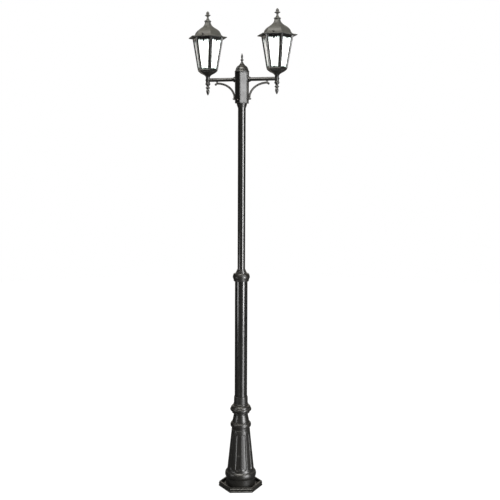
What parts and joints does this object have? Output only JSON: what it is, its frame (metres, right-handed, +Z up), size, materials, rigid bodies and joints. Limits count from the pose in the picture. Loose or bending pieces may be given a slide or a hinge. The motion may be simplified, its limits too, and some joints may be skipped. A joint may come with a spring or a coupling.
{
  "type": "street lamp post",
  "caption": "Slim lamp post with a fluted pedestal, a collared two-stage tube and twin arms that carry tapered hexagonal lanterns with hinged roofs.",
  "frame": {"origin": "on the ground, on the post's axis, under the plinth", "axes": "+Z up along the post; the two arms point along +X and -X; the lanterns' roofs hinge at +Y and lock at -Y"},
  "size_m": [0.659, 0.2644, 2.8608],
  "materials": {
    "access_door": "satin black powder coat on cast aluminium",
    "arm_lead_left": "cable sheath",
    "arm_lead_right": "cable sheath",
    "arm_left": "satin black powder coat",
    "arm_right": "satin black powder coat",
    "base_plinth": "satin black powder coat on cast aluminium",
    "bracket_left": "satin black powder coat on cast aluminium",
    "bracket_right": "satin black powder coat on cast aluminium",
    "bulb_cap_left": "plain",
    "bulb_cap_right": "plain",
    "bulb_glass_left": "frosted",
    "bulb_glass_right": "frosted",
    "cable_connector": "ceramic white",
    "cap_screw_left": "satin black powder coat",
    "cap_screw_right": "satin black powder coat",
    "collar_set_screw": "zinc plated",
    "diffuser_left": "opal",
    "diffuser_right": "opal",
    "door_screw": "satin black powder coat on cast aluminium",
    "door_strap": "zinc plated",
    "foot_screw_1": "zinc plated",
    "foot_screw_2": "zinc plated",
    "foot_screw_3": "zinc plated",
    "gear_plate": "zinc plated",
    "head_box": "satin black powder coat",
    "head_cap": "satin black powder coat on cast aluminium",
    "head_collar": "satin black powder coat on cast aluminium",
    "head_finial": "satin black powder coat on cast aluminium",
    "head_set_screw_front": "zinc plated",
    "head_set_screw_rear": "zinc plated",
    "hinge_pin_left": "zinc plated",
    "hinge_pin_right": "zinc plated",
    "lamp_holder_left": "ceramic white",
    "lamp_holder_right": "ceramic white",
    "lantern_frame_left": "satin black powder coat",
    "lantern_frame_right": "satin black powder coat",
    "lantern_tray_left": "satin black powder coat on cast aluminium",
    "lantern_tray_right": "satin black powder coat on cast aluminium",
    "lock_screw_left": "satin black powder coat",
    "lock_screw_right": "satin black powder coat",
    "lower_tube": "satin black powder coat",
    "mid_collar": "satin black powder coat on cast aluminium",
    "neck_set_screw": "zinc plated",
    "nipple_left": "bare",
    "nipple_right": "bare",
    "pedestal_body": "satin black powder coat on cast aluminium",
    "pedestal_neck": "satin black powder coat on cast aluminium",
    "pendant_left": "satin black powder coat on cast aluminium",
    "pendant_right": "satin black powder coat on cast aluminium",
    "pole_cable": "cable sheath",
    "roof_finial_left": "satin black powder coat on cast aluminium",
    "roof_finial_right": "satin black powder coat on cast aluminium",
    "roof_left": "satin black powder coat",
    "roof_right": "satin black powder coat",
    "socket_left": "satin black powder coat on cast aluminium",
    "socket_right": "satin black powder coat on cast aluminium",
    "socket_screw_left": "satin black powder coat",
    "socket_screw_right": "satin black powder coat",
    "terminal_block": "moulded",
    "upper_tube": "satin black powder coat"
  },
  "bodies": {
    "post": {"base_plinth": "base_plinth", "foot_screw_1": "foot_screw_1", "foot_screw_2": "foot_screw_2", "foot_screw_3": "foot_screw_3", "pedestal_body": "pedestal_body", "door_strap": "door_strap", "gear_plate": "gear_plate", "terminal_block": "terminal_block", "pedestal_neck": "pedestal_neck", "neck_set_screw": "neck_set_screw", "lower_tube": "lower_tube", "mid_collar": "mid_collar", "collar_set_screw": "collar_set_screw", "upper_tube": "upper_tube", "pole_cable": "pole_cable"},
    "door": {"access_door": "access_door"},
    "door_screw": {"door_screw": "door_screw"},
    "head": {"head_collar": "head_collar", "head_box": "head_box", "head_cap": "head_cap", "head_finial": "head_finial", "head_set_screw_front": "head_set_screw_front", "head_set_screw_rear": "head_set_screw_rear", "cable_connector": "cable_connector", "cap_screw_left": "cap_screw_left", "cap_screw_right": "cap_screw_right", "arm_left": "arm_left", "arm_right": "arm_right", "bracket_left": "bracket_left", "bracket_right": "bracket_right", "socket_left": "socket_left", "socket_right": "socket_right", "socket_screw_left": "socket_screw_left", "socket_screw_right": "socket_screw_right", "pendant_left": "pendant_left", "pendant_right": "pendant_right", "arm_lead_left": "arm_lead_left", "arm_lead_right": "arm_lead_right", "lantern_tray_left": "lantern_tray_left", "lantern_tray_right": "lantern_tray_right", "lantern_frame_left": "lantern_frame_left", "lantern_frame_right": "lantern_frame_right", "hinge_pin_left": "hinge_pin_left", "hinge_pin_right": "hinge_pin_right", "diffuser_left": "diffuser_left", "diffuser_right": "diffuser_right", "nipple_left": "nipple_left", "nipple_right": "nipple_right", "lamp_holder_left": "lamp_holder_left", "lamp_holder_right": "lamp_holder_right"},
    "roof_left": {"roof_left": "roof_left", "roof_finial_left": "roof_finial_left"},
    "lock_screw_left": {"lock_screw_left": "lock_screw_left"},
    "bulb_left": {"bulb_cap_left": "bulb_cap_left", "bulb_glass_left": "bulb_glass_left"},
    "roof_right": {"roof_right": "roof_right", "roof_finial_right": "roof_finial_right"},
    "lock_screw_right": {"lock_screw_right": "lock_screw_right"},
    "bulb_right": {"bulb_cap_right": "bulb_cap_right", "bulb_glass_right": "bulb_glass_right"}
  },
  "joints": [
    {"name": "head_swivel", "type": "hinge", "parent": "post", "child": "head", "pos_m": [0, 0, 2.303], "axis": [0, 0, 1], "range_deg": [-175, 175]},
    {"name": "door_lift", "type": "slide", "parent": "post", "child": "door", "axis": [-0.2079, -0.9781, 0], "range_m": [0, 0.06]},
    {"name": "door_screw_turn", "type": "hinge", "parent": "door", "child": "door_screw", "pos_m": [-0.01372, -0.06456, 0.23], "axis": [-0.2079, -0.9781, 0], "continuous": true},
    {"name": "roof_left_open", "type": "hinge", "parent": "head", "child": "roof_left", "pos_m": [-0.21, 0.112, 2.703], "axis": [-1, 0, 0], "range_deg": [0, 100]},
    {"name": "lock_screw_left_turn", "type": "hinge", "parent": "roof_left", "child": "lock_screw_left", "pos_m": [-0.21, -0.0905, 2.7075], "axis": [0, 0, 1], "continuous": true},
    {"name": "bulb_left_turn", "type": "hinge", "parent": "head", "child": "bulb_left", "pos_m": [-0.21, 0, 2.502], "axis": [0, 0, 1], "continuous": true},
    {"name": "roof_right_open", "type": "hinge", "parent": "head", "child": "roof_right", "pos_m": [0.21, 0.112, 2.703], "axis": [-1, 0, 0], "range_deg": [0, 100]},
    {"name": "lock_screw_right_turn", "type": "hinge", "parent": "roof_right", "child": "lock_screw_right", "pos_m": [0.21, -0.0905, 2.7075], "axis": [0, 0, 1], "continuous": true},
    {"name": "bulb_right_turn", "type": "hinge", "parent": "head", "child": "bulb_right", "pos_m": [0.21, 0, 2.502], "axis": [0, 0, 1], "continuous": true}
  ]
}
